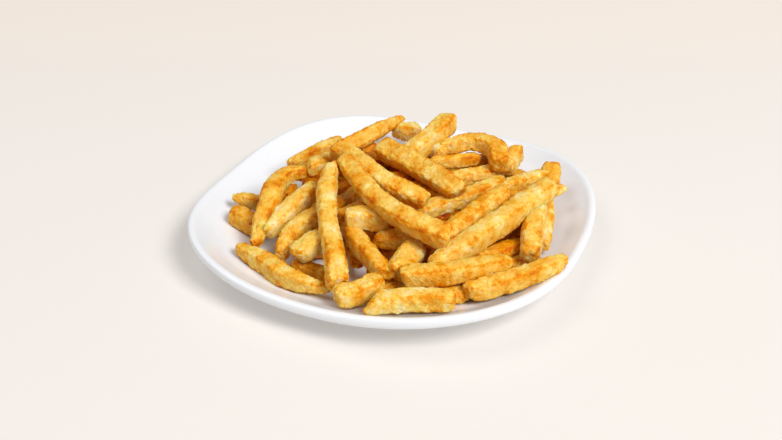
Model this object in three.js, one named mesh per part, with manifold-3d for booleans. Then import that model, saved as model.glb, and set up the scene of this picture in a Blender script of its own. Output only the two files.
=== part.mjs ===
// A portion of french fries heaped on a white rounded-square coupe plate.
// Millimetres, +Z up. The origin is the middle of the plate's foot, on the table,
// and the plate's four sides face along X and Y.

import * as THREE from 'three';
import { mergeVertices } from 'three/addons/utils/BufferGeometryUtils.js';
import Module from 'manifold-3d';

const wasm = await Module();
wasm.setup();

// ---- driving dimensions ----

const PLATE_SIDE = 230;         // between the middles of two opposite sides
const RIM_HEIGHT = 23.2;        // table to the rim's crest, before the rim's wave
const CORNER_POWER = 2.52;      // power of the outline's superellipse: 2 is round, more is squarer
const RIM_WAVE = 2.4;           // corners stand this much higher, side middles as much lower
const WAVE_START = 0.6;         // share of the half side where the wave sets in
const FLOOR_HEIGHT = 8.3;       // table to the inside floor
const FOOT_OUTER = 69;          // the foot ring's outer half side
const FOOT_INNER = 64.5;
const FOOT_HOLLOW = 3.2;        // height of the underside inside the foot ring
const PLATE_STEPS = 72;         // steps round the plate

const HEAP_TURN = THREE.MathUtils.degToRad(23.7); // the heap's own axes, turned on the plate
const HEAP_GAP = 0.3;           // play between the heap and the plate
const CAVITY_TOP = 85;          // well above the heap
const STEP_LENGTH = 14;         // longest straight step along a bent fry
const MOUND_STEPS = 40;         // steps round the mound
const PLAIN_THICK = [1, 1];     // a fry that is as thick all along
const WELD_REACH = 1e-4;        // corners nearer than this are one corner

const HALF_SIDE = PLATE_SIDE / 2;

// The plate's section, from the middle of the inside floor over the rim to the middle of
// the underside: distance from the axis on a side's middle line, and height.
const INSIDE = [
  [0, FLOOR_HEIGHT],
  [52, FLOOR_HEIGHT + 0.2],
  [70, FLOOR_HEIGHT + 1.2],
  [85, FLOOR_HEIGHT + 3.9],
  [96.5, FLOOR_HEIGHT + 6.8],
  [100.5, FLOOR_HEIGHT + 8],
  [104, FLOOR_HEIGHT + 10],
  [109, RIM_HEIGHT - 2],
  [111, RIM_HEIGHT - 0.5],
];
const RIM = [
  [113, RIM_HEIGHT],
  [114.6, RIM_HEIGHT - 0.4],
  [HALF_SIDE, RIM_HEIGHT - 1.9],
  [HALF_SIDE, RIM_HEIGHT - 4],
  [HALF_SIDE - 0.7, RIM_HEIGHT - 5.8],
  [HALF_SIDE - 3.2, RIM_HEIGHT - 7.6],
];
const UNDERSIDE = [
  [105, 12.6],
  [95, 9.6],
  [84, 6.3],
  [FOOT_OUTER + 4, 4.4],
  [FOOT_OUTER + 0.8, 0.8],
  [FOOT_OUTER, 0],
  [FOOT_INNER, 0],
  [FOOT_INNER - 1.2, FOOT_HOLLOW - 0.6],
  [FOOT_INNER - 4, FOOT_HOLLOW],
  [0, FOOT_HOLLOW],
];

// The low mound of the bottom fries: distance from its axis, and height.
const MOUND = [[0, 0], [90, 0], [90, 19.5], [80, 23], [61, 27.5], [33, 30.5], [0, 31.5]];
const MOUND_MIDDLE = [2, -9];

// The fries, in the heap's own axes: X across, Y towards the back, Z from the table. Each has
// the side of its square section, the places its middle line passes, and where they aren't
// plain, its thickness at even places along it (1 is full) and how far it is rolled on its
// long axis, in degrees.
const FRIES = {
  left_low: { side: 12, route: [[-98, -6, 20], [-78, -22, 18]], thick: [0.9, 1, 1, 1, 1] },
  left_wedge: { side: 10.5, route: [[-98, 6, 24], [-78, 3, 20]], thick: [0.3, 0.6, 0.8, 0.85, 0.85] },
  left_under: { side: 9, route: [[-57, -57, 17], [-34, -67, 15]] },
  front_under: { side: 9, route: [[-15, -67, 16], [3, -65, 16]] },
  short_under: { side: 9, route: [[-24, -41, 22], [-21, -59, 18]] },
  front_small: { side: 9, route: [[-9, -86, 18], [6, -74, 17]] },
  front_brown: { side: 9, route: [[17, -94, 19], [38, -88, 19]] },
  right_brown: { side: 10, route: [[45, -68, 25], [71, -46, 22]] },
  right_under: { side: 9, route: [[59, -60, 18], [80, -52, 18]] },
  right_thin: { side: 9, route: [[88, -3, 32], [82, -45, 20]] },
  front_right: {
    side: 10.5,
    route: [[37, -95, 24], [55, -88, 24], [92, -69, 27]],
    thick: [0.9, 1, 1, 0.95, 0.65],
  },
  front: { side: 10.5, route: [[-14, -107, 25], [31, -102, 24]] },
  spindle: {
    side: 11,
    route: [[-89, -44, 20], [-74, -58, 19], [-55, -78, 20], [-36, -86, 20]],
    thick: [0.5, 0.9, 1, 0.8, 0.4],
  },
  front_left: { side: 12, route: [[-31, -100, 24], [-7, -86, 25]] },
  left_small: { side: 8, route: [[-68, 1, 25], [-62, 12, 27]] },
  left_stub: { side: 12, route: [[-40, -50, 31], [-55, -64, 26]], thick: [1, 1.05, 1.05, 1, 0.8] },
  left_hook: {
    side: 11,
    route: [[-44, -27, 31], [-59, -42, 26], [-64, -56, 20]],
    thick: [1, 1, 1, 0.85, 0.7],
  },
  left_slope: {
    side: 11.5,
    route: [[-45, -6, 37], [-62, -22, 30], [-75, -36, 23]],
    thick: [0.9, 1, 1, 1, 1],
  },
  back_left: { side: 8.5, route: [[-66, 37, 29], [-33, 54, 37]], thick: [0.8, 0.9, 1, 1, 1] },
  back_long: {
    side: 10.5,
    route: [[-36, 44, 36], [-19, 58, 38], [5, 92, 36]],
    thick: [0.85, 1, 0.95, 0.72, 0.4],
    roll: 45,
  },
  back_stub: { side: 11, route: [[0, 79, 31], [16, 88, 28]] },
  far_stub: { side: 11, route: [[68, 31, 28], [77, 48, 34]] },
  far_pale: { side: 8.5, route: [[22, 46, 38], [30, 38, 36]] },
  far_low: { side: 10, route: [[34, 23, 26], [65, 34, 26]] },
  far_mid: { side: 7.5, route: [[21, 32, 33], [53, 42, 31]] },
  right_pale: { side: 9, route: [[62, 1, 32], [91, 15, 34]] },
  right_tip: { side: 9, route: [[79, -4, 30], [102, 5, 31]], thick: [1, 1, 0.9, 0.75, 0.5] },
  right_box: { side: 12, route: [[92, 6, 26], [96, 28, 33]] },
  inner_back: { side: 8.5, route: [[-37, -21, 33], [-21, 7, 28]] },
  inner_mid: { side: 9, route: [[-33, -30, 30], [-10, -6, 31]] },
  inner_blunt: { side: 10.5, route: [[-12, -46, 26], [18, -45, 28]], thick: [0.8, 1, 1, 1, 1] },
  front_long: {
    side: 11,
    route: [[3, -89, 29], [29, -86, 30], [61, -76, 30]],
    thick: [1.05, 1.05, 1, 1, 0.8],
  },
  right_blunt: {
    side: 12.5,
    route: [[83, -19, 34], [76, -48, 32], [73, -66, 27]],
    thick: [0.75, 0.9, 1, 1, 1],
  },
  right_long: {
    side: 13.5,
    route: [[18, -80, 29], [45, -59, 35], [90, -14, 42]],
    thick: [0.75, 1, 1, 1, 0.9],
  },
  mid_stub: { side: 14, route: [[1, -84, 28], [11, -56, 26]], roll: 20 },
  mid_pale: { side: 12, route: [[-28, -40, 36], [-4, -39, 33]] },
  mid_bent: {
    side: 11,
    route: [[-28, -32, 28], [-20, -55, 29], [-12, -72, 29], [-4, -85, 28]],
    thick: [0.75, 0.95, 1, 0.95, 0.75],
  },
  right_back: { side: 9.5, route: [[13, -29, 33], [37, -15, 34], [65, 8, 33]] },
  right_mid: { side: 11.5, route: [[27, -58, 35], [46, -38, 39], [64, -22, 43]] },
  back_up: { side: 12.5, route: [[4, 30, 34], [35, 63, 48]] },
  left_blunt: { side: 9.5, route: [[-53, 18, 36], [-36, 32, 36]] },
  curl: {
    side: 10,
    route: [[22, 46, 35], [35, 46, 38], [52, 49, 39], [62, 41, 38], [64, 24, 34]],
    thick: [0.85, 0.9, 1, 1.2, 1.25],
  },
  left_bent: {
    side: 13,
    route: [[-54, 13, 37], [-65, 8, 37], [-74, -22, 31], [-79, -45, 20]],
    thick: [0.55, 0.85, 1, 0.82, 0.48],
  },
  middle: { side: 13.5, route: [[-9, 28, 46], [37, -22, 42]], roll: 35 },
  inner_long: {
    side: 11,
    route: [[-38, 20, 49], [-27, 13, 49], [-6, -15, 46], [18, -30, 41]],
    thick: [0.8, 0.85, 0.9, 1, 0.95],
    roll: 20,
  },
  long_front: {
    side: 13.5,
    route: [[-30, 0, 51], [-9, -38, 46], [8, -57, 44], [29, -70, 41]],
    thick: [0.8, 0.88, 0.88, 0.92, 1],
    roll: 20,
  },
  upright: {
    side: 13.5,
    route: [[-37, -2, 50], [-39, -26, 45], [-37, -49, 39], [-32, -77, 31], [-30, -92, 26]],
    thick: [0.6, 0.9, 0.78, 0.92, 1],
  },
};

// Plain fries that the others lie on, above the mound.
const UNDER_FRIES = {
  second_back: { side: 10, route: [[-22, 40, 24], [28, 48, 25]] },
  second_left: { side: 10, route: [[-56, 10, 27], [-8, 32, 28]] },
  second_middle: { side: 10, route: [[-4, 2, 24], [40, 16, 24]] },
  second_right: { side: 10, route: [[50, -34, 24], [62, 14, 25]] },
  second_inner: { side: 10, route: [[-48, -18, 24], [6, -18, 24]] },
  second_front: { side: 10, route: [[20, -64, 23], [50, -42, 24]] },
  second_far: { side: 9.5, route: [[44, 54, 24], [70, 42, 24]] },
  second_rear: { side: 10, route: [[-40, 50, 28], [-12, 62, 27]] },
  second_side: { side: 9.5, route: [[-68, -26, 20], [-38, -36, 23]] },
  second_gap: { side: 10, route: [[-22, -30, 17], [6, -50, 16]] },
  second_slope: { side: 10, route: [[0, -24, 24], [27, -58, 20]] },
  second_dark: { side: 10, route: [[56, -30, 18], [80, -17, 20]] },
  second_mid: { side: 9, route: [[22, -27, 26], [44, -9, 26]] },
  second_low: { side: 9.5, route: [[71, -32, 21], [90, 0, 23]] },
  gap_back: { side: 10, route: [[10, 4, 32], [36, -15, 31]] },
  gap_far: { side: 9, route: [[28, 36, 26], [57, 47, 26]] },
  gap_left: { side: 9, route: [[-60, 21, 31], [-24, 24, 34]] },
  gap_front: { side: 9, route: [[39, -89, 20], [67, -72, 20]] },
  gap_inner: { side: 9, route: [[-40, -1, 28], [-23, 17, 28]] },
  third_middle: { side: 10, route: [[-18, 4, 34], [26, 10, 34]] },
  third_back: { side: 10, route: [[-41, 27, 31], [-2, 40, 32]] },
  third_right: { side: 9.5, route: [[38, -44, 32], [74, -8, 33]] },
};

// ---- from closed meshes to solids and back ----

function weld(geometry) {
  geometry.deleteAttribute('normal');
  geometry.deleteAttribute('uv');
  return mergeVertices(geometry, WELD_REACH);
}

function solidOf(geometry) {
  const welded = weld(geometry);
  return new wasm.Manifold(new wasm.Mesh({
    numProp: 3,
    vertProperties: new Float32Array(welded.attributes.position.array),
    triVerts: new Uint32Array(welded.index.array),
  }));
}

function geometryOf(solid) {
  const mesh = solid.getMesh();
  const geometry = new THREE.BufferGeometry();
  geometry.setAttribute('position', new THREE.BufferAttribute(mesh.vertProperties, 3));
  geometry.setIndex(new THREE.BufferAttribute(mesh.triVerts, 1));
  geometry.computeVertexNormals();
  return geometry;
}

// ---- the plate ----

// How much farther out the rounded square's outline is in this direction than on a side's middle.
function outlineStretch(angle) {
  const across = Math.abs(Math.cos(angle)) ** CORNER_POWER;
  const along = Math.abs(Math.sin(angle)) ** CORNER_POWER;
  return (across + along) ** (-1 / CORNER_POWER);
}

// Height that the rim's wave adds at this share of the half side and in this direction.
function waveAt(share, angle) {
  const grown = THREE.MathUtils.clamp((share - WAVE_START) / (1 - WAVE_START), 0, 1);
  return -RIM_WAVE * Math.cos(4 * angle) * grown ** 2;
}

// A round turned body, made a rounded square with raised corners.
function roundedSquareLathe(profile) {
  const points = profile.map(([radius, height]) => new THREE.Vector2(radius, height));
  const geometry = new THREE.LatheGeometry(points, PLATE_STEPS);
  geometry.rotateX(Math.PI / 2);
  const position = geometry.attributes.position;
  for (let i = 0; i < position.count; i++) {
    const x = position.getX(i);
    const y = position.getY(i);
    const angle = Math.atan2(y, x);
    const stretch = outlineStretch(angle);
    const wave = waveAt(Math.hypot(x, y) / HALF_SIDE, angle);
    position.setXYZ(i, x * stretch, y * stretch, position.getZ(i) + wave);
  }
  return geometry;
}

function plateGeometry() {
  const underToTop = [...INSIDE, ...RIM, ...UNDERSIDE].reverse();
  return weld(roundedSquareLathe(underToTop));
}

// All that is above the inside of the plate, less the play.
function cavitySolid() {
  const lifted = INSIDE.map(([radius, height]) => [radius, height + HEAP_GAP]);
  const edge = lifted[lifted.length - 1][0];
  return solidOf(roundedSquareLathe([...lifted, [edge, CAVITY_TOP], [0, CAVITY_TOP]]));
}

// ---- the heap ----

// The value at a share of the way along a list of values at even places.
function valueAlong(values, along) {
  const place = along * (values.length - 1);
  const before = Math.min(Math.floor(place), values.length - 2);
  return THREE.MathUtils.lerp(values[before], values[before + 1], place - before);
}

// A square stick along its route, with a section wherever it bends or changes its thickness.
function fryGeometry({ side, route, thick = PLAIN_THICK, roll = 0 }) {
  const curve = new THREE.CatmullRomCurve3(route.map((place) => new THREE.Vector3(...place)));
  const bends = route.length > 2 ? Math.ceil(curve.getLength() / STEP_LENGTH) : 1;
  const steps = Math.max(bends, thick.length - 1);
  const geometry = new THREE.BoxGeometry(1, side, side, steps, 1, 1);
  const position = geometry.attributes.position;
  const up = new THREE.Vector3(0, 0, 1);
  for (let i = 0; i < position.count; i++) {
    const along = position.getX(i) + 0.5;
    const tangent = curve.getTangentAt(along);
    const level = new THREE.Vector3().crossVectors(tangent, up).normalize();
    level.applyAxisAngle(tangent, THREE.MathUtils.degToRad(roll));
    const steep = new THREE.Vector3().crossVectors(level, tangent);
    const thickness = valueAlong(thick, along);
    const place = curve.getPointAt(along)
      .addScaledVector(level, -position.getY(i) * thickness)
      .addScaledVector(steep, position.getZ(i) * thickness);
    position.setXYZ(i, place.x, place.y, place.z);
  }
  return geometry;
}

function moundSolid() {
  const points = MOUND.map(([radius, height]) => new THREE.Vector2(radius, height));
  const geometry = new THREE.LatheGeometry(points, MOUND_STEPS);
  geometry.rotateX(Math.PI / 2);
  geometry.translate(MOUND_MIDDLE[0], MOUND_MIDDLE[1], 0);
  return solidOf(geometry);
}

function heapGeometry() {
  const turnDegrees = THREE.MathUtils.radToDeg(HEAP_TURN);
  let heap = moundSolid();
  for (const fry of [...Object.values(FRIES), ...Object.values(UNDER_FRIES)]) {
    heap = heap.add(solidOf(fryGeometry(fry)));
  }
  return geometryOf(heap.rotate([0, 0, turnDegrees]).intersect(cavitySolid()));
}

// ---- the portion ----

const glaze = new THREE.MeshStandardMaterial({ color: 0xf2f2f3, roughness: 0.12, metalness: 0 });
const crust = new THREE.MeshStandardMaterial({ color: 0xe3a63c, roughness: 0.6, metalness: 0 });

function part(name, geometry, material) {
  const mesh = new THREE.Mesh(geometry, material);
  mesh.name = name;
  return mesh;
}

const portion = new THREE.Group();
portion.add(part('plate', plateGeometry(), glaze));
portion.add(part('fries_heap', heapGeometry(), crust));

export default portion;
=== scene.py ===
"""A portion of french fries heaped on a white rounded-square coupe plate.

The plate is a spun section drawn out to a rounded square. Each fry is a cut stick, laid along
its own route, with a blistered fried crust. A brown core, whose brown is painted shade, fills the
middle of the heap.
"""

import math

import bmesh
import bpy
import numpy as np
from mathutils import Matrix, Vector


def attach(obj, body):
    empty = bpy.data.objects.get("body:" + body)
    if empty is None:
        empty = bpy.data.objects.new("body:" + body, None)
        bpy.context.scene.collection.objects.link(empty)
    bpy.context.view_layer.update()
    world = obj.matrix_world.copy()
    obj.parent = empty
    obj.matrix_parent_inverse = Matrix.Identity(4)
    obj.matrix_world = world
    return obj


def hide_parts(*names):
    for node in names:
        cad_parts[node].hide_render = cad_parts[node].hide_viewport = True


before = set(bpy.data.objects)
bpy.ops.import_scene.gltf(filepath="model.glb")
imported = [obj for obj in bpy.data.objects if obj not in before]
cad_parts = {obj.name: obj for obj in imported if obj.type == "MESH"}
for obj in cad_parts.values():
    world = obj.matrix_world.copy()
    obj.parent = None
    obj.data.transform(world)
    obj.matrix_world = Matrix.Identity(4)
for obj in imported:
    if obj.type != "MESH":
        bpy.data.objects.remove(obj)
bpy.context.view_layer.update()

MM = 0.001
SMOOTH_LEVELS = 2        # how many times a piece's faces are split in four to smooth it

# ---- the plate's sizes, in millimetres ----

HALF_SIDE = 115.0        # middle of the plate to the middle of a side
RIM_HEIGHT = 23.2        # table to the rim's crest, before the rim's wave
CORNER_POWER = 2.52      # power of the outline's superellipse: 2 is round, more is squarer
RIM_WAVE = 2.4           # corners stand this much higher, side middles as much lower
WAVE_START = 0.6         # share of the half side where the wave sets in
FLOOR_HEIGHT = 8.3       # table to the inside floor
FOOT_OUTER = 69.0        # the foot ring's outer half side
FOOT_INNER = 64.5
FOOT_HOLLOW = 3.2        # height of the underside inside the foot ring
PLATE_STEPS = 96         # steps round the plate, before it is smoothed

# The plate's section, from the middle of the inside floor over the rim and round the foot ring
# to the middle of the underside: distance from the axis on a side's middle line, and height.
PLATE_SECTION = (
    (0, FLOOR_HEIGHT),
    (28, FLOOR_HEIGHT),
    (52, FLOOR_HEIGHT + 0.2),
    (70, FLOOR_HEIGHT + 1.2),
    (85, FLOOR_HEIGHT + 3.9),
    (96.5, FLOOR_HEIGHT + 6.8),
    (100.5, FLOOR_HEIGHT + 8.0),
    (104, FLOOR_HEIGHT + 10.0),
    (109, RIM_HEIGHT - 2.0),
    (111, RIM_HEIGHT - 0.5),
    (113, RIM_HEIGHT),
    (114.6, RIM_HEIGHT - 0.4),
    (HALF_SIDE, RIM_HEIGHT - 1.9),
    (HALF_SIDE, RIM_HEIGHT - 4.0),
    (HALF_SIDE - 0.7, RIM_HEIGHT - 5.8),
    (HALF_SIDE - 3.2, RIM_HEIGHT - 7.6),
    (105, 12.6),
    (95, 9.6),
    (84, 6.3),
    (FOOT_OUTER + 4, 4.4),
    (FOOT_OUTER + 1.6, 3.2),
    (FOOT_OUTER + 0.6, 1.2),
    (FOOT_OUTER, 0.2),
    (FOOT_OUTER - 0.9, 0),
    (FOOT_INNER + 0.9, 0),
    (FOOT_INNER, 0.2),
    (FOOT_INNER - 0.8, 2.1),
    (FOOT_INNER - 2.4, FOOT_HOLLOW),
    (36, FOOT_HOLLOW),
    (0, FOOT_HOLLOW),
)

# ---- the fries, in millimetres ----

HEAP_TURN = math.radians(23.7)   # the heap's own axes, turned on the plate

# Each fry, in the heap's own axes: X across, Y towards the back, Z from the table. It has the
# side of its square section and the places that its middle line passes. Where they aren't plain:
# its thickness at five even places along it (1 is full), how far it is rolled on its long axis in
# degrees, how its two cuts slant (the first one's slope sideways and upwards, then the second
# one's), and how brown it is (0 pale, 0.5 golden, 1 brown).
FRIES = {
    "left_low": dict(
        side=12,
        route=((-98, -6, 20), (-78, -22, 18)),
        thick=(0.9, 1, 1, 1, 1),
        tone=0.65,
    ),
    "left_wedge": dict(
        side=10.5,
        route=((-98, 6, 24), (-78, 3, 20)),
        thick=(0.3, 0.6, 0.8, 0.85, 0.85),
        tone=0.55,
    ),
    "left_under": dict(side=9, route=((-57, -57, 17), (-34, -67, 15)), tone=0.8),
    "front_under": dict(side=9, route=((-15, -67, 16), (3, -65, 16)), tone=0.75),
    "short_under": dict(side=9, route=((-24, -41, 22), (-21, -59, 18)), tone=0.8),
    "front_small": dict(side=9, route=((-9, -86, 18), (6, -74, 17)), tone=0.7),
    "front_brown": dict(side=9, route=((17, -94, 19), (38, -88, 19)), tone=0.8),
    "right_brown": dict(side=10, route=((45, -68, 25), (71, -46, 22)), tone=0.7),
    "right_under": dict(side=9, route=((59, -60, 18), (80, -52, 18)), tone=0.75),
    "right_thin": dict(side=9, route=((88, -3, 32), (82, -45, 20)), tone=0.45),
    "front_right": dict(
        side=10.5,
        route=((37, -95, 24), (55, -88, 24), (92, -69, 27)),
        thick=(0.9, 1, 1, 0.95, 0.65),
    ),
    "front": dict(
        side=10.5,
        route=((-14, -107, 25), (31, -102, 24)),
        cuts=(0.45, 0.45, 0, 0),
        tone=0.35,
    ),
    "spindle": dict(
        side=11,
        route=((-89, -44, 20), (-74, -58, 19), (-55, -78, 20), (-36, -86, 20)),
        thick=(0.5, 0.9, 1, 0.8, 0.4),
    ),
    "front_left": dict(side=12, route=((-31, -100, 24), (-7, -86, 25)), tone=0.4),
    "left_small": dict(side=8, route=((-68, 1, 25), (-62, 12, 27)), tone=0.8),
    "left_stub": dict(
        side=12,
        route=((-40, -50, 31), (-55, -64, 26)),
        thick=(1, 1.05, 1.05, 1, 0.8),
        tone=0.3,
    ),
    "left_hook": dict(
        side=11,
        route=((-44, -27, 31), (-59, -42, 26), (-64, -56, 20)),
        thick=(1, 1, 1, 0.85, 0.7),
    ),
    "left_slope": dict(
        side=11.5,
        route=((-45, -6, 37), (-62, -22, 30), (-75, -36, 23)),
        thick=(0.9, 1, 1, 1, 1),
        tone=0.35,
    ),
    "back_left": dict(
        side=8.5,
        route=((-66, 37, 29), (-33, 54, 37)),
        thick=(0.8, 0.9, 1, 1, 1),
        tone=0.55,
    ),
    "back_long": dict(
        side=10.5,
        route=((-36, 44, 36), (-19, 58, 38), (5, 92, 36)),
        thick=(0.85, 1, 0.95, 0.72, 0.4),
        roll=45,
    ),
    "back_stub": dict(side=11, route=((0, 79, 31), (16, 88, 28)), tone=0.3),
    "far_stub": dict(side=11, route=((68, 31, 28), (77, 48, 34)), tone=0.4),
    "far_pale": dict(side=8.5, route=((22, 46, 38), (30, 38, 36)), tone=0.25),
    "far_low": dict(side=10, route=((34, 23, 26), (65, 34, 26)), tone=0.45),
    "far_mid": dict(side=7.5, route=((21, 32, 33), (53, 42, 31)), tone=0.45),
    "right_pale": dict(side=9, route=((62, 1, 32), (91, 15, 34)), tone=0.35),
    "right_tip": dict(
        side=9,
        route=((79, -4, 30), (102, 5, 31)),
        thick=(1, 1, 0.9, 0.75, 0.5),
        tone=0.5,
    ),
    "right_box": dict(side=12, route=((92, 6, 26), (96, 28, 33)), cuts=(0, 0, 0.1, 0), tone=0.75),
    "inner_back": dict(side=8.5, route=((-37, -21, 33), (-21, 7, 28)), tone=0.65),
    "inner_mid": dict(side=9, route=((-33, -30, 30), (-10, -6, 31)), tone=0.6),
    "inner_blunt": dict(
        side=10.5,
        route=((-12, -46, 26), (18, -45, 28)),
        thick=(0.8, 1, 1, 1, 1),
        tone=0.6,
    ),
    "front_long": dict(
        side=11,
        route=((3, -89, 29), (29, -86, 30), (61, -76, 30)),
        thick=(1.05, 1.05, 1, 1, 0.8),
    ),
    "right_blunt": dict(
        side=12.5,
        route=((83, -19, 34), (76, -48, 32), (73, -66, 27)),
        thick=(0.75, 0.9, 1, 1, 1),
        tone=0.3,
    ),
    "right_long": dict(
        side=13.5,
        route=((18, -80, 29), (45, -59, 35), (90, -14, 42)),
        thick=(0.75, 1, 1, 1, 0.9),
    ),
    "mid_stub": dict(side=14, route=((1, -84, 28), (11, -56, 26)), roll=20, tone=0.4),
    "mid_pale": dict(side=12, route=((-28, -40, 36), (-4, -39, 33)), cuts=(0, 0, 0, 0), tone=0.2),
    "mid_bent": dict(
        side=11,
        route=((-28, -32, 28), (-20, -55, 29), (-12, -72, 29), (-4, -85, 28)),
        thick=(0.75, 0.95, 1, 0.95, 0.75),
        tone=0.55,
    ),
    "right_back": dict(side=9.5, route=((13, -29, 33), (37, -15, 34), (65, 8, 33)), tone=0.4),
    "right_mid": dict(side=11.5, route=((27, -58, 35), (46, -38, 39), (64, -22, 43)), tone=0.45),
    "back_up": dict(side=12.5, route=((4, 30, 34), (35, 63, 48)), tone=0.45),
    "left_blunt": dict(side=9.5, route=((-53, 18, 36), (-36, 32, 36)), tone=0.35),
    "curl": dict(
        side=10,
        route=((22, 46, 35), (35, 46, 38), (52, 49, 39), (62, 41, 38), (64, 24, 34)),
        thick=(0.85, 0.9, 1, 1.2, 1.25),
        tone=0.6,
    ),
    "left_bent": dict(
        side=13,
        route=((-54, 13, 37), (-65, 8, 37), (-74, -22, 31), (-79, -45, 20)),
        thick=(0.55, 0.85, 1, 0.82, 0.48),
    ),
    "middle": dict(side=13.5, route=((-9, 28, 46), (37, -22, 42)), roll=35),
    "inner_long": dict(
        side=11,
        route=((-38, 20, 49), (-27, 13, 49), (-6, -15, 46), (18, -30, 41)),
        thick=(0.8, 0.85, 0.9, 1, 0.95),
        roll=20,
    ),
    "long_front": dict(
        side=13.5,
        route=((-30, 0, 51), (-9, -38, 46), (8, -57, 44), (29, -70, 41)),
        thick=(0.8, 0.88, 0.88, 0.92, 1),
        roll=20,
    ),
    "upright": dict(
        side=13.5,
        route=((-37, -2, 50), (-39, -26, 45), (-37, -49, 39), (-32, -77, 31), (-30, -92, 26)),
        thick=(0.6, 0.9, 0.78, 0.92, 1),
        tone=0.4,
    ),
}

# Plain fries that the others lie on. Their brown is painted shade: they are as brown as fries look
# in the shade of others, and those that show at the back get less of this painted shade and are
# nearer to golden.
UNDER_SHADE_TONE = 1.1
BACK_SHADE_TONE = 0.75
UNDER_FRIES = {
    "floor_left": dict(side=10, route=((-78, 20, 17), (-28, -6, 14)), tone=BACK_SHADE_TONE),
    "floor_front": dict(side=10, route=((4, -56, 14), (42, -48, 14))),
    "floor_right": dict(side=10, route=((40, -26, 14), (84, 18, 17))),
    "floor_middle": dict(side=10, route=((-6, 56, 14), (28, 12, 14))),
    "floor_inner": dict(side=10, route=((-8, -20, 14), (34, -8, 14))),
    "floor_far": dict(side=10, route=((42, 56, 16), (82, 36, 18)), tone=BACK_SHADE_TONE),
    "floor_back": dict(side=10, route=((4, 78, 17), (42, 68, 17)), tone=BACK_SHADE_TONE),
    "floor_rear": dict(side=10, route=((-54, 58, 17), (-12, 78, 16)), tone=BACK_SHADE_TONE),
    "floor_inside": dict(side=10, route=((12, -40, 14), (52, -26, 14))),
    "floor_side": dict(side=10, route=((36, 24, 14), (72, 0, 15))),
    "floor_across": dict(side=10, route=((46, -8, 21), (60, 32, 21))),
    "floor_rest": dict(side=10, route=((-12, 60, 15), (32, 50, 15)), tone=BACK_SHADE_TONE),
    "floor_hidden": dict(side=10, route=((-54, -42, 15), (-28, -32, 14))),
    "second_back": dict(side=10, route=((-22, 40, 24), (28, 48, 25))),
    "second_left": dict(side=10, route=((-56, 10, 27), (-8, 32, 28))),
    "second_middle": dict(side=10, route=((-4, 2, 24), (40, 16, 24))),
    "second_right": dict(side=10, route=((50, -34, 24), (62, 14, 25))),
    "second_inner": dict(side=10, route=((-48, -18, 24), (6, -18, 24))),
    "second_front": dict(side=10, route=((20, -64, 23), (50, -42, 24))),
    "second_far": dict(side=9.5, route=((44, 54, 24), (70, 42, 24)), tone=BACK_SHADE_TONE),
    "second_rear": dict(side=10, route=((-40, 50, 28), (-12, 62, 27)), tone=BACK_SHADE_TONE),
    "second_side": dict(side=9.5, route=((-68, -26, 20), (-38, -36, 23))),
    "second_gap": dict(side=10, route=((-22, -30, 17), (6, -50, 16))),
    "second_slope": dict(side=10, route=((0, -24, 24), (27, -58, 20))),
    "second_dark": dict(side=10, route=((56, -30, 18), (80, -17, 20))),
    "second_mid": dict(side=9, route=((22, -27, 26), (44, -9, 26))),
    "second_low": dict(side=9.5, route=((71, -32, 21), (90, 0, 23))),
    "gap_back": dict(side=10, route=((10, 4, 32), (36, -15, 31))),
    "gap_far": dict(side=9, route=((28, 36, 26), (57, 47, 26)), tone=BACK_SHADE_TONE),
    "gap_left": dict(side=9, route=((-60, 21, 31), (-24, 24, 34))),
    "gap_front": dict(side=9, route=((39, -89, 20), (67, -72, 20))),
    "gap_inner": dict(side=9, route=((-40, -1, 28), (-23, 17, 28))),
    "third_middle": dict(side=10, route=((-18, 4, 34), (26, 10, 34))),
    "third_back": dict(side=10, route=((-41, 27, 31), (-2, 40, 32))),
    "third_right": dict(side=9.5, route=((38, -44, 32), (74, -8, 33))),
}

LONG_FROM = 44.0         # a straight fry longer than this is a long one

# ---- a fry's shape, in millimetres and shares of its side ----

CAGE_CELL = 4.0                  # length of a stick's cells before it is smoothed
FEWEST_CUTS = 3                  # the shortest stick is cut across this often
FLAT_SHARES = (0.17, 0.27)       # half width of the flat on a stick's side
CORNER_SHARES = (0.4, 0.475)     # how far out its corners reach: low is round, high is square
END_SHARES = (0.60, 0.80)        # size of the flat on a stick's cut end
END_ROUND = 2.4                  # from the cut end to the first ring of full thickness
SQUARENESS = 0.07                # how much wider than high a section can be, or the other way round
WANDER = 0.012                   # how far the rings stray off the middle line, and in thickness
JITTER = 0.01                    # how far single corners stray
BOW = 0.025                      # how far a straight stick bows, as a share of its length
CUT_SLANT = 0.16                 # how slanted a plain cut is
SLANT_REACH = 1.5                # how far along a slanted cut shifts the stick
CUT_END_REACH = 5.0              # how far along the browner finish of a cut end reaches
TONE_SPREAD = 0.05               # how much browner or paler than its row a fry may be
SEED_SPREAD = 50                 # how far apart two fries' patterns can lie in the noise
ROUTE_STEPS = 24                 # steps of the guiding curve from one place to the next

# The fried crust's own unevenness: the size of its features and how far they stand out.
LUMP_SIZE = 8.0
LUMP_STRENGTH = 0.8
BLISTER_SIZE = 2.2
BLISTER_STRENGTH = 1.9

# The lumpy core under all the fries.
CORE_HALF = (28, 28, 12)         # half of its width, depth and height
CORE_MIDDLE = (2, 2, 21)         # its middle in the heap's own axes
CORE_LUMPS = 4.0                 # how far its lumps stand out


# ---- working with a piece by operators ----

def take(piece):
    """Makes this piece the only one selected, and the one that is worked on."""
    bpy.ops.object.select_all(action="DESELECT")
    piece.select_set(True)
    bpy.context.view_layer.objects.active = piece


def edit(piece):
    take(piece)
    bpy.ops.object.mode_set(mode="EDIT")
    bpy.ops.mesh.select_all(action="DESELECT")


def done():
    bpy.ops.object.mode_set(mode="OBJECT")


def finish_with(piece, kind, **settings):
    """Adds a modifier with these settings and applies it."""
    take(piece)
    modifier = piece.modifiers.new(kind.title(), kind)
    for name, value in settings.items():
        setattr(modifier, name, value)
    bpy.ops.object.modifier_apply(modifier=modifier.name)


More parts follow.
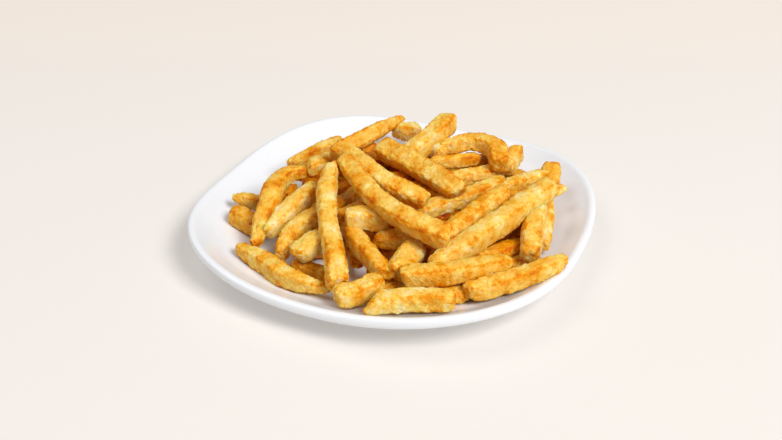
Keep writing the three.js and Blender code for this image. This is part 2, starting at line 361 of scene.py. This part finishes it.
def places_of(piece):
    places = np.empty(len(piece.data.vertices) * 3)
    piece.data.vertices.foreach_get("co", places)
    return places.reshape(-1, 3)


def put_places(piece, places):
    piece.data.vertices.foreach_set("co", places.ravel())
    piece.data.update()


def smooth_shaded(piece):
    take(piece)
    bpy.ops.object.shade_smooth()


# ---- the plate ----

def spun_plate():
    """The section spun round the plate's axis, a plain round plate."""
    mesh = bpy.data.meshes.new("plate_glazed")
    rings = [(radius * MM, 0, height * MM) for radius, height in PLATE_SECTION]
    mesh.from_pydata(rings, [(i, i + 1) for i in range(len(rings) - 1)], [])
    plate = bpy.data.objects.new("plate_glazed", mesh)
    bpy.context.scene.collection.objects.link(plate)
    edit(plate)
    bpy.ops.mesh.select_all(action="SELECT")
    bpy.ops.mesh.spin(steps=PLATE_STEPS, angle=math.tau, center=(0, 0, 0), axis=(0, 0, 1))
    bpy.ops.mesh.select_all(action="SELECT")
    bpy.ops.mesh.remove_doubles(threshold=0.01 * MM)
    bpy.ops.mesh.normals_make_consistent(inside=False)
    done()
    return plate


def square_off(plate):
    """Draws the round plate out to a rounded square whose corners stand a little higher."""
    places = places_of(plate)
    x, y, z = places.T
    angle = np.arctan2(y, x)
    across = np.abs(np.cos(angle)) ** CORNER_POWER
    along = np.abs(np.sin(angle)) ** CORNER_POWER
    stretch = (across + along) ** (-1 / CORNER_POWER)
    share = np.hypot(x, y) / (HALF_SIDE * MM)
    grown = np.clip((share - WAVE_START) / (1 - WAVE_START), 0, 1)
    wave = -RIM_WAVE * MM * np.cos(4 * angle) * grown ** 2
    put_places(plate, np.column_stack([x * stretch, y * stretch, z + wave]))


def make_plate():
    plate = spun_plate()
    square_off(plate)
    finish_with(plate, "SUBSURF", levels=SMOOTH_LEVELS, render_levels=SMOOTH_LEVELS)
    smooth_shaded(plate)
    return plate


# ---- the fries ----

def split_along(stick, axis, cuts):
    """Cuts every edge that runs along the axis into equal lengths."""
    mesh = bmesh.from_edit_mesh(stick.data)
    for edge in mesh.edges:
        run = edge.verts[1].co - edge.verts[0].co
        edge.select_set(abs(run[axis]) > 0.9 * run.length)
    bmesh.update_edit_mesh(stick.data)
    bpy.ops.mesh.subdivide(number_cuts=cuts)
    bpy.ops.mesh.select_all(action="DESELECT")


def stick_cage(name, length, side):
    """A straight square stick along X, from zero, in coarse cells."""
    bpy.ops.object.select_all(action="DESELECT")
    bpy.ops.mesh.primitive_cube_add(size=1, location=(0, 0, 0))
    stick = bpy.context.object
    stick.name = name
    edit(stick)
    bpy.ops.mesh.select_mode(type="EDGE")
    along = max(FEWEST_CUTS, round(length / CAGE_CELL) - 1)
    # Two cuts the other ways leave each side a flat between two rounded edges.
    for axis, cuts in ((0, along), (1, 2), (2, 2)):
        split_along(stick, axis, cuts)
    done()
    unit = places_of(stick)
    places = np.column_stack([(unit[:, 0] + 0.5) * length, unit[:, 1] * side, unit[:, 2] * side])
    put_places(stick, places)
    return stick


def shape_cage(stick, length, side, thick, cuts, rng):
    """Gives the stick rounded edges and ends, its taper, slanted cuts and small unevenness."""
    x, y, z = places_of(stick).T
    rings, ring = np.unique(np.round(x, 3), return_inverse=True)
    outer = side / 3     # the cage's inner lines are nearer to its middle, its outer ones farther
    on_edge = (np.abs(y) > outer) & (np.abs(z) > outer)
    flat = rng.uniform(*FLAT_SHARES) * side
    corner = rng.uniform(*CORNER_SHARES) * side
    for across in (y, z):
        inner = np.abs(across) < outer
        across[inner] = np.sign(across[inner]) * flat
        across[on_edge] = np.sign(across[on_edge]) * corner
    thickness = np.interp(x / length, np.linspace(0, 1, len(thick)), thick)
    for end_ring in (0, len(rings) - 1):
        thickness[ring == end_ring] *= rng.uniform(*END_SHARES)
    x[ring == 1] = END_ROUND
    x[ring == len(rings) - 2] = length - END_ROUND
    slant = slant_at(x, y, z, side, cuts[:2]) + slant_at(length - x, y, z, side, cuts[2:])
    squareness = rng.uniform(-SQUARENESS, SQUARENESS)
    wander = rng.normal(0, WANDER, (len(rings), 4))[ring]
    jitter = rng.normal(0, JITTER, (len(x), 3))
    wide = thickness * (1 + squareness + wander[:, 0])
    high = thickness * (1 - squareness + wander[:, 1])
    sideways = y * wide + side * wander[:, 2]
    upwards = z * high + side * wander[:, 3]
    put_places(stick, np.column_stack([x + slant, sideways, upwards]) + side * jitter)
    cut_end = np.clip(1 - np.minimum(x, length - x) / CUT_END_REACH, 0, 1)
    return on_edge, cut_end


def slant_at(distance, y, z, side, cut):
    """How far a slanted cut at distance 0 shifts the places of its end of the stick."""
    near = np.clip(1 - distance / (SLANT_REACH * side), 0, 1)
    return near * (cut[0] * y + cut[1] * z)


def note(stick, name, values):
    """Keeps a number for each vertex, for the crust's finish."""
    kept = stick.data.attributes.new(name, "FLOAT", "POINT")
    kept.data.foreach_set("value", np.asarray(values, np.float32))


def lay_along(stick, route, roll):
    """Bends the straight stick along its route."""
    curve = bpy.data.curves.new("route", "CURVE")
    curve.dimensions = "3D"
    curve.twist_mode = "Z_UP"
    curve.resolution_u = ROUTE_STEPS
    spline = curve.splines.new("BEZIER")
    spline.bezier_points.add(len(route) - 1)
    for knot, place in zip(spline.bezier_points, route):
        knot.co = place
        knot.tilt = math.radians(roll)
        knot.handle_left_type = knot.handle_right_type = "AUTO"
    guide = bpy.data.objects.new("route", curve)
    bpy.context.scene.collection.objects.link(guide)
    bpy.context.view_layer.update()
    finish_with(stick, "CURVE", object=guide, deform_axis="POS_X")
    bpy.data.objects.remove(guide)
    bpy.data.curves.remove(curve)


def route_length(route):
    return sum((Vector(b) - Vector(a)).length for a, b in zip(route, route[1:]))


def bowed(route, rng):
    """A straight route gets a slight bow, because no cut stick stays quite straight."""
    if len(route) > 2:
        return route
    start, end = Vector(route[0]), Vector(route[1])
    bow = Vector(rng.normal(0, BOW, 3)) * (end - start).length
    return (start, (start + end) / 2 + bow, end)


def make_fry(name, side, route, thick=(1, 1, 1, 1, 1), roll=0, cuts=None, tone=0.5):
    """One fry. The letters of its name settle its random draws, so it is always the same."""
    rng = np.random.default_rng(sum(ord(letter) for letter in name))
    length = route_length(route)
    cuts = cuts or rng.normal(0, CUT_SLANT, 4)
    stick = stick_cage(name, length, side)
    on_edge, cut_end = shape_cage(stick, length, side, thick, cuts, rng)
    note(stick, "edge", on_edge)
    note(stick, "cut_end", cut_end)
    note(stick, "tone", np.full(len(on_edge), tone + rng.normal(0, TONE_SPREAD)))
    note(stick, "seed", np.full(len(on_edge), rng.uniform(0, SEED_SPREAD)))
    finish_with(stick, "SUBSURF", levels=SMOOTH_LEVELS, render_levels=SMOOTH_LEVELS)
    lay_along(stick, bowed(route, rng), roll)
    for texture, strength in RELIEF:
        finish_with(stick, "DISPLACE", texture=texture, texture_coords="LOCAL", strength=strength)
    return stick


def cloud_texture(name, size, depth):
    texture = bpy.data.textures.new(name, "CLOUDS")
    texture.noise_scale = size
    texture.noise_depth = depth
    return texture


LUMPS = cloud_texture("lumps", LUMP_SIZE, 1)
BLISTERS = cloud_texture("blisters", BLISTER_SIZE, 2)
RELIEF = ((LUMPS, LUMP_STRENGTH), (BLISTERS, BLISTER_STRENGTH))


def join(pieces, name):
    take(pieces[0])
    for piece in pieces:
        piece.select_set(True)
    bpy.ops.object.join()
    joined = bpy.context.object
    joined.name = joined.data.name = name
    return joined


def place_on_plate(piece):
    """Turns the heap's axes into the plate's, and millimetres into metres."""
    piece.data.transform(Matrix.Rotation(HEAP_TURN, 4, "Z") @ Matrix.Scale(MM, 4))
    smooth_shaded(piece)


def kind_of(route):
    if len(route) > 2:
        return "bent"
    return "long" if route_length(route) > LONG_FROM else "short"


def make_fries(kind, rows, **plain):
    """Makes these fries and joins them. Plain values hold where a row has none of its own."""
    sticks = [make_fry(name, **(plain | sizes)) for name, sizes in rows.items()]
    fries = join(sticks, f"fries_{kind}")
    place_on_plate(fries)
    return fries


def make_core():
    """The brown middle of the heap, which closes the gaps between the fries. Its brown is painted
    shade, as dark as the deep gaps between fries look.
    """
    bpy.ops.object.select_all(action="DESELECT")
    bpy.ops.mesh.primitive_uv_sphere_add(segments=48, ring_count=24, radius=1, location=(0, 0, 0))
    core = bpy.context.object
    core.name = "heap_core"
    put_places(core, places_of(core) * CORE_HALF + CORE_MIDDLE)
    finish_with(core, "DISPLACE", texture=LUMPS, texture_coords="LOCAL", strength=CORE_LUMPS)
    note(core, "tone", np.full(len(core.data.vertices), UNDER_SHADE_TONE))
    place_on_plate(core)
    return core


# ---- materials ----

def seen(x, y, z):
    """A place as the viewer sees it: to the right, away and up from the plate, in metres."""
    return Matrix.Rotation(HEAP_TURN, 3, "Z") @ Vector((x, y, z))


class Socket:
    """A node's output in one material, with Python's operators as Math nodes."""

    def __init__(self, tree, socket):
        self.tree = tree
        self.socket = socket

    def node(self, kind, settings=None, **inputs):
        """Adds a node, with its settings first and then the values or links of its sockets."""
        node = self.tree.nodes.new(kind)
        for name, value in (settings or {}).items():
            setattr(node, name, value)
        for name, value in inputs.items():
            key = int(name[1:]) if name[0] == "_" else name.replace("_", " ")
            if isinstance(value, Socket):
                self.tree.links.new(value.socket, node.inputs[key])
            else:
                node.inputs[key].default_value = value
        return node

    def maths(self, operation, *values):
        inputs = {f"_{i}": value for i, value in enumerate(values)}
        node = self.node("ShaderNodeMath", {"operation": operation}, **inputs)
        return Socket(self.tree, node.outputs[0])

    def vector_maths(self, operation, output, **inputs):
        """The output of this name of a Vector Math node on this value."""
        node = self.node("ShaderNodeVectorMath", {"operation": operation}, _0=self, **inputs)
        return Socket(self.tree, node.outputs[output])

    def __add__(self, other):
        return self.maths("ADD", self, other)

    __radd__ = __add__

    def __sub__(self, other):
        return self.maths("SUBTRACT", self, other)

    def __rsub__(self, other):
        return self.maths("SUBTRACT", other, self)

    def __mul__(self, other):
        return self.maths("MULTIPLY", self, other)

    __rmul__ = __mul__

    def between(self, low, high):
        """0 below low, 1 above high, smooth in the middle."""
        node = self.node("ShaderNodeMapRange", {"interpolation_type": "SMOOTHSTEP"}, Value=self,
                         From_Min=low, From_Max=high)
        return Socket(self.tree, node.outputs[0])

    def noise(self, size, detail=2.0, rough=0.5, seed=0.0):
        """Noise with features about this many metres across, from 0 to 1."""
        node = self.node("ShaderNodeTexNoise", {"noise_dimensions": "4D"}, Vector=self, W=seed,
                         Scale=1 / size, Detail=detail, Roughness=rough)
        return Socket(self.tree, node.outputs[0])

    def height(self):
        """The third number of a place."""
        return Socket(self.tree, self.node("ShaderNodeSeparateXYZ", None, Vector=self).outputs["Z"])

    def ramp(self, *stops):
        """Colours along this value."""
        node = self.node("ShaderNodeValToRGB", None, Fac=self)
        elements = node.color_ramp.elements
        while len(elements) < len(stops):
            elements.new(1.0)
        for element, (position, colour) in zip(elements, stops):
            element.position = position
            element.color = (*colour, 1)
        return Socket(self.tree, node.outputs[0])


def new_material(name):
    material = bpy.data.materials.new(name)
    material.use_nodes = True
    return material, material.node_tree


def attribute(tree, name):
    node = tree.nodes.new("ShaderNodeAttribute")
    node.attribute_name = name
    return Socket(tree, node.outputs["Fac"])


def object_place(tree):
    return Socket(tree, tree.nodes.new("ShaderNodeTexCoord").outputs["Object"])


def linear(red, green, blue):
    """A colour as seen on a screen, 0 to 255, as light."""
    return tuple(((c / 255 + 0.055) / 1.055) ** 2.4 for c in (red, green, blue))


PATCH_SIZE = 8 * MM          # pale and golden patches
MOTTLE_SIZE = 2.6 * MM       # blisters and spots in them
CRUMB_SIZE = 1.1 * MM        # single crumbs
CRUST_GRAIN = 2 * MM         # height of the crust's fine grain

# The crust's colour, from hardly fried to dark.
CRUST_COLOURS = (
    (0.0, linear(255, 236, 184)),
    (0.25, linear(252, 207, 96)),
    (0.48, linear(236, 159, 2)),
    (0.72, linear(208, 104, 0)),
    (1.0, linear(130, 40, 0)),
)

INSIDE_REACH = 3 * MM             # how far light travels inside
INSIDE_LIGHT = (1.0, 0.4, 0.05)   # the share of that for red, green and blue light


def crust_material():
    """Fried coating: pale and golden patches, browner crumbs on its edges and ends."""
    material, tree = new_material("fried_crust")
    place = object_place(tree)
    seed = attribute(tree, "seed")
    tone = attribute(tree, "tone")
    edge = attribute(tree, "edge")
    cut_end = attribute(tree, "cut_end")
    patches = place.noise(PATCH_SIZE, seed=seed)
    mottle = place.noise(MOTTLE_SIZE, detail=3, rough=0.6, seed=seed)
    crumbs = place.noise(CRUMB_SIZE, rough=0.6, seed=seed)
    fried_edge = (edge * 0.8 + (mottle - 0.5) * 1.6 + (patches - 0.5) * 1.2).between(0.2, 0.9)
    fried_end = cut_end * mottle.between(0.4, 0.62)
    # The factors say how strongly each of these browns the crust.
    spots = (patches - 0.5) * 0.85 + (mottle - 0.5) * 0.5 + (crumbs - 0.5) * 0.32
    browning = tone * 0.5 + spots + fried_edge * 0.15 + fried_end * 0.14 + 0.08
    colour = browning.ramp(*CRUST_COLOURS)
    relief = mottle * 0.4 + crumbs * 0.6
    bump = place.node("ShaderNodeBump", None, Strength=1.0, Distance=CRUST_GRAIN, Height=relief)
    shader = tree.nodes["Principled BSDF"]
    tree.links.new(colour.socket, shader.inputs["Base Color"])
    tree.links.new((0.17 + mottle * 0.3).socket, shader.inputs["Roughness"])
    tree.links.new(bump.outputs[0], shader.inputs["Normal"])
    shader.inputs["Subsurface Weight"].default_value = 0.6
    shader.inputs["Subsurface Radius"].default_value = INSIDE_LIGHT
    shader.inputs["Subsurface Scale"].default_value = INSIDE_REACH
    shader.inputs["IOR"].default_value = 1.33
    shader.inputs["Specular IOR Level"].default_value = 0.35
    return material


RIPPLE_SIZE = 30 * MM                # slow unevenness of the glaze
RIPPLE_HEIGHT = 0.4 * MM
SPECKLE_SIZE = 2 * MM                # fine spots in its white
BARE_HEIGHT = (0.3 * MM, 0.9 * MM)   # the foot is bare below the first, and glazed above the second

# The glaze's colour, from the bare foot to the whitest.
GLAZE_COLOURS = (
    (0.0, linear(226, 222, 214)),
    (0.25, linear(234, 237, 242)),
    (0.6, linear(239, 242, 247)),
)


def glaze_material():
    """White porcelain under a clear gloss glaze, bare and matt where it stands."""
    material, tree = new_material("white_glaze")
    place = object_place(tree)
    bare = 1 - place.height().between(*BARE_HEIGHT)
    ripple = place.noise(RIPPLE_SIZE)
    speckle = place.noise(SPECKLE_SIZE)
    whiteness = ripple * 0.5 + speckle * 0.3 - bare * 0.6
    colour = whiteness.ramp(*GLAZE_COLOURS)
    bump = place.node("ShaderNodeBump", None, Strength=0.12, Distance=RIPPLE_HEIGHT, Height=ripple)
    shader = tree.nodes["Principled BSDF"]
    tree.links.new(colour.socket, shader.inputs["Base Color"])
    tree.links.new((0.08 + ripple * 0.08 + bare * 0.6).socket, shader.inputs["Roughness"])
    tree.links.new(bump.outputs[0], shader.inputs["Normal"])
    shader.inputs["IOR"].default_value = 1.5
    return material


FLOOR_NEAR = linear(248, 243, 237)
FLOOR_FAR = linear(255, 244, 234)
FLOOR_FADE = (0.1, 0.45)     # metres beyond the plate's middle over which the floor changes
FLOOR_GLOW = 0.23            # light of its own, which keeps the shadows on it weak
FLOOR_PAINT = 0.67           # share of its colour that the paper sends back
FLOOR_SIZE = 12              # metres


def floor_material():
    """Pale paper, a little warmer and darker far away."""
    material, tree = new_material("pale_floor")
    place = object_place(tree)
    away = place.vector_maths("DOT_PRODUCT", "Value", _1=seen(0, 1, 0))
    colour = away.between(*FLOOR_FADE).ramp((0, FLOOR_NEAR), (1, FLOOR_FAR))
    paint = colour.vector_maths("SCALE", "Vector", Scale=FLOOR_PAINT)
    shader = tree.nodes["Principled BSDF"]
    tree.links.new(colour.socket, shader.inputs["Emission Color"])
    tree.links.new(paint.socket, shader.inputs["Base Color"])
    shader.inputs["Emission Strength"].default_value = FLOOR_GLOW
    shader.inputs["Roughness"].default_value = 0.9
    shader.inputs["Specular IOR Level"].default_value = 0.0
    return material


def dress(piece, material):
    piece.data.materials.clear()
    piece.data.materials.append(material)


# ---- stage, light and camera ----

def make_floor(material):
    bpy.ops.object.select_all(action="DESELECT")
    bpy.ops.mesh.primitive_plane_add(size=FLOOR_SIZE, location=(0, 0, 0))
    floor = bpy.context.object
    floor.name = "floor"
    dress(floor, material)


# Each soft light's place as the viewer sees it and its side, in metres, its power and its colour.
SOFT_LIGHTS = {
    "key": dict(place=(1.6, -1.8, 2.5), size=1.3, power=104, colour=(0.99, 0.99, 0.99)),
    "fill": dict(place=(-1.5, 0.2, 2.8), size=1.8, power=24, colour=(1.0, 0.99, 0.98)),
}
SKY_COLOUR = (1.0, 0.975, 0.94, 1)
SKY_STRENGTH = 0.32      # light from all round


def add_soft_light(name, place, size, power, colour):
    light = bpy.data.lights.new(name, "AREA")
    light.shape = "SQUARE"
    light.size = size
    light.energy = power
    light.color = colour
    lamp = bpy.data.objects.new(name, light)
    lamp.location = seen(*place)
    lamp.rotation_euler = (-lamp.location).to_track_quat("-Z", "Y").to_euler()
    bpy.context.scene.collection.objects.link(lamp)


def light_studio():
    world = bpy.data.worlds.new("studio")
    world.use_nodes = True
    sky = world.node_tree.nodes["Background"]
    sky.inputs["Color"].default_value = SKY_COLOUR
    sky.inputs["Strength"].default_value = SKY_STRENGTH
    bpy.context.scene.world = world
    for name, light in SOFT_LIGHTS.items():
        add_soft_light(name, **light)


CAMERA_TILT = 29.79                  # degrees down from level
CAMERA_DISTANCE = 0.6389             # metres from the place that it is aimed at
CAMERA_AIM = (0, 0, 0.023)           # about the rim's height, over the plate's middle
CAMERA_LENS = 49.25                  # millimetres
CAMERA_SHIFT = (-0.00575, -0.022)    # share of the picture's width, to the side and up


def place_camera():
    camera = bpy.data.cameras.new("camera")
    camera.lens = CAMERA_LENS
    camera.shift_x, camera.shift_y = CAMERA_SHIFT
    tilt = math.radians(CAMERA_TILT)
    away = seen(0, -math.cos(tilt), math.sin(tilt)) * CAMERA_DISTANCE
    viewer = bpy.data.objects.new("camera", camera)
    viewer.location = Vector(CAMERA_AIM) + away
    viewer.rotation_euler = (-away).to_track_quat("-Z", "Y").to_euler()
    bpy.context.scene.collection.objects.link(viewer)
    bpy.context.scene.camera = viewer


# ---- the portion ----

place_camera()
light_studio()
make_floor(floor_material())
bpy.context.scene.view_settings.view_transform = "Standard"

plate = make_plate()
dress(plate, glaze_material())
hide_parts("plate")

crust = crust_material()
# The core and the under fries are browned with painted shade, as dark as the gaps between fries
# look.
heap = [make_core(), make_fries("under", UNDER_FRIES, tone=UNDER_SHADE_TONE)]
for kind in ("long", "bent", "short"):
    rows = {name: row for name, row in FRIES.items() if kind_of(row["route"]) == kind}
    heap.append(make_fries(kind, rows))
for piece in heap:
    dress(piece, crust)
    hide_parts("fries_heap")

for piece in (plate, *heap):
    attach(piece, "root")
